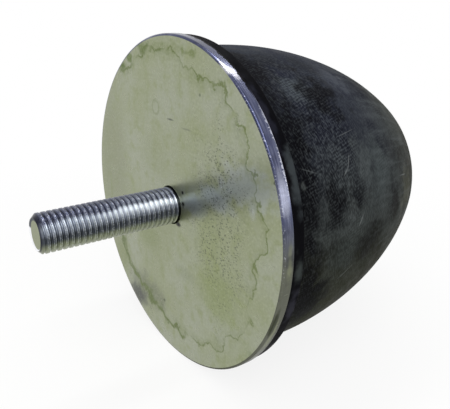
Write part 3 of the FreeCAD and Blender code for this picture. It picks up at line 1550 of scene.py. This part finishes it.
@dataclass
class RubberBody:
    """Flange, groove and domed cone in one moulding."""

    flange: float
    front: float
    tip: float
    flange_thickness: float = 4.1
    flange_round: float = 0.6
    groove_width: float = 1.4
    groove_depth: float = 2.6
    foot_round: float = 1.1
    facets: int = 4
    widest: float = 49.6
    widest_at: float = 11.4
    nose_radius: float = 38.2
    unevenness: float = 0.12
    hollow_width: float = 14.0
    segments: int = 224
    rings: int = 64
    crease: float = 40.0

    @classmethod
    def from_frame(cls) -> "RubberBody":
        """The moulding at the size of its solid."""
        low, high = reach(Node.RUBBER)
        return cls(flange=high.x, front=low.y, tip=high.y)

    def dome_rings(self, foot: float) -> list[Ring]:
        """Rings along the flank arc and the nose arc, evenly spaced.

        Args:
            foot: Where the dome starts along the axis.

        Returns:
            The rings, up to a small one beside the tip.
        """
        widest_along = self.front + self.flange_thickness + self.widest_at
        nose_centre = self.tip - self.nose_radius
        run = nose_centre - widest_along
        narrowing = self.widest - self.nose_radius
        flank = (self.widest ** 2 + run ** 2 - self.nose_radius ** 2) / (2 * narrowing)
        lean = math.atan2(run, flank - self.widest)
        first = math.asin((foot - widest_along) / flank)
        flank_length = (lean - first) * flank
        nose_length = (math.pi / 2 - lean) * self.nose_radius
        rings = []
        for step in range(self.rings):
            length = (flank_length + nose_length) * step / self.rings
            if length < flank_length:
                angle = first + length / flank
                out = self.widest - flank + flank * math.cos(angle)
                rings.append(Ring(widest_along + flank * math.sin(angle), out))
            else:
                angle = lean + (length - flank_length) / self.nose_radius
                along = nose_centre + self.nose_radius * math.sin(angle)
                rings.append(Ring(along, self.nose_radius * math.cos(angle)))
        return rings

    def build(self, pocket: Piece) -> Piece:
        """Model the moulding ring by ring, and sink the pocket of the stud's head into it.

        Args:
            pocket: The head's form, which is used up.

        Returns:
            The finished piece.
        """
        back = self.front + self.flange_thickness
        foot = back + self.groove_width
        dome = self.dome_rings(foot)
        groove = dome[0].out - self.groove_depth
        rings = [
            Ring(self.front, self.flange),
            Ring(back, self.flange),
            Ring(back, groove),
            Ring(foot, groove),
        ]
        rubber = turn_rings("rubber_nose", rings + dome, self.segments)
        self.close_tip(rubber, dome[-1])
        round_ring(rubber, Ring(back, self.flange), self.flange_round, self.facets)
        round_ring(rubber, dome[0], self.foot_round, self.facets)
        combine(rubber, pocket, "DIFFERENCE")
        self.roughen(rubber)
        make_solid(rubber)
        smooth(rubber, self.crease)
        return rubber

    def close_tip(self, rubber: Piece, last: Ring) -> None:
        """Draw the last ring up to the tip and close it to a point.

        Args:
            rubber: The moulding.
            last: Its last ring.
        """
        rise = (0, (self.tip - last.along) * MM, 0)
        with editing(rubber):
            select_where(rubber, Select.FACES, lambda place: abs(place.y - last.along) < ON_LEVEL)
            bpy.ops.mesh.extrude_region_move(TRANSFORM_OT_translate={"value": rise})
            bpy.ops.mesh.merge(type="CENTER")

    def roughen(self, rubber: Piece) -> None:
        """Press the surface in a little here and there, as a moulding is never quite true.

        Args:
            rubber: The moulding.
        """
        texture = bpy.data.textures.new("mould_unevenness", "CLOUDS")
        texture.noise_scale = self.hollow_width * MM
        apply_modifier(
            rubber,
            "DISPLACE",
            texture=texture,
            texture_coords="LOCAL",
            strength=self.unevenness * MM,
            mid_level=1.0,
        )

    def dress(self, rubber: Piece) -> None:
        """Give the moulding its rubber.

        Args:
            rubber: The finished moulding.
        """
        coat(rubber, MouldedRubber(groove_from=self.front + self.flange_thickness))
        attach(rubber, "root")
        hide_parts(Node.RUBBER.value)


# The studio


@dataclass(frozen=True)
class Lamp:
    """A soft lamp: its place in metres, how it is turned in degrees, its sides and its power."""

    name: str
    place: Triple
    turned: Triple
    width: float
    length: float
    power: float


@dataclass
class Studio:
    """Pale floor, white surroundings, soft lamps and the camera.

    The floor and its shadow are in metres, and the camera's place is in millimetres.
    """

    white: str = "#FFFFFF"
    floor_grey: str = "#EDEDEB"
    floor_size: float = 6.0
    shadow_share: float = 0.14
    shadow: Fade = Fade(0.28, 0.05)
    fill: float = 0.35
    lamps: tuple[Lamp, ...] = (
        Lamp("front_lamp", (0.434, -0.434, 0.658), (43, 0, 45), 0.6, 0.6, 5.5),
        Lamp("top_strip", (-0.17, 0.13, 0.7), (0, 0, 0), 0.08, 0.9, 2.4),
        Lamp("side_strip", (0.68, 0.05, 0.17), (0, 90, 0), 0.2, 1.2, 1.2),
    )
    camera_place: Triple = (139.034, -83.586, 59.640)
    camera_azimuth: float = 56.94
    camera_elevation: float = 17.885
    sensor: float = 36.0
    lens: float = 42.685
    shift: tuple[float, float] = (0.0817, -0.04725)

    def build(self) -> None:
        """Set up everything round the mount."""
        self.surround()
        self.add_floor()
        for lamp in self.lamps:
            self.add_lamp(lamp)
        self.add_camera()
        bpy.context.scene.view_settings.view_transform = "Standard"

    def seen(self, tree: Tree) -> Socket:
        """Mask of the rays that show the background: straight, mirrored or through glass.

        Args:
            tree: The nodes of the world or the floor.

        Returns:
            The mask.
        """
        rays = add(tree, "LightPath").node.outputs
        bent = {0: rays["Is Glossy Ray"], 1: rays["Is Transmission Ray"]}
        mirrored = add(tree, "Math", bent, operation="MAXIMUM")
        return add(tree, "Math", {0: rays["Is Camera Ray"], 1: mirrored}, operation="MAXIMUM")

    def surround(self) -> None:
        """White surroundings that light the mount less than they show."""
        world = bpy.data.worlds.new("studio_white")
        world.use_nodes = True
        tree = world.node_tree
        tree.nodes.clear()
        shown = add(tree, "Background", {0: linear(self.white), 1: 1.0})
        light = add(tree, "Background", {0: linear(self.white), 1: self.fill})
        both = add(tree, "MixShader", {0: self.seen(tree), 1: light, 2: shown})
        add(tree, "OutputWorld", {0: both})
        bpy.context.scene.world = world

    def add_floor(self) -> None:
        """Pale floor under the mount that shows white and keeps a soft shadow."""
        low, _ = reach(Node.PLATE)
        bpy.ops.mesh.primitive_plane_add(size=self.floor_size, location=(0, 0, low.z * MM))
        floor = settle(bpy.context.object, "floor")
        material = bpy.data.materials.new("pale_floor")
        material.use_nodes = True
        tree = material.node_tree
        tree.nodes.clear()
        plain = add(tree, "BsdfDiffuse", {0: linear(self.floor_grey)})
        glow = add(tree, "Emission", {0: linear(self.white), 1: 1.0})
        local = add(tree, "TexCoord", out="Object")
        away = add(tree, "VectorMath", {0: local}, out=1, operation="LENGTH")
        limits = {**self.shadow.over(away), 4: self.shadow_share}
        near = add(tree, "MapRange", limits, **SMOOTH)
        shown = add(tree, "MixShader", {0: near, 1: glow, 2: plain})
        both = add(tree, "MixShader", {0: self.seen(tree), 1: plain, 2: shown})
        add(tree, "OutputMaterial", {0: both})
        floor.data.materials.append(material)

    def add_lamp(self, lamp: Lamp) -> None:
        """Add a soft rectangular lamp.

        Args:
            lamp: The lamp.
        """
        turned = tuple(math.radians(angle) for angle in lamp.turned)
        bpy.ops.object.light_add(type="AREA", location=lamp.place, rotation=turned)
        light = bpy.context.object
        light.name = lamp.name
        light.data.shape = "RECTANGLE"
        light.data.size = lamp.width
        light.data.size_y = lamp.length
        light.data.energy = lamp.power

    def add_camera(self) -> None:
        """Camera where the photograph was taken from."""
        lift = math.radians(90 - self.camera_elevation)
        bpy.ops.object.camera_add(
            location=Vector(self.camera_place) * MM,
            rotation=(lift, 0, math.radians(self.camera_azimuth)),
        )
        camera = bpy.context.object
        camera.name = "camera"
        camera.data.sensor_fit = "HORIZONTAL"
        camera.data.sensor_width = self.sensor
        camera.data.lens = self.lens
        camera.data.shift_x, camera.data.shift_y = self.shift
        camera.data.clip_start = MM
        bpy.context.scene.camera = camera


def report(piece: Piece) -> None:
    """Log a finished piece with its size."""
    size = piece.dimensions / MM
    log.info("%s: %d faces, %.1f x %.1f x %.1f mm", piece.name, len(piece.data.polygons), *size)


def main() -> None:
    """Build and dress the mount's pieces in order, then the studio."""
    logging.basicConfig(level=logging.INFO, format="%(name)s: %(message)s")
    plate = BasePlate.from_frame()
    disc = plate.build()
    plate.dress(disc)
    report(disc)
    screw = ThreadedStud.from_frame()
    stud = screw.build()
    screw.dress(stud)
    report(stud)
    moulding = RubberBody.from_frame()
    rubber = moulding.build(screw.head())
    moulding.dress(rubber)
    report(rubber)
    Studio().build()


if __name__ == "__main__":
    main()
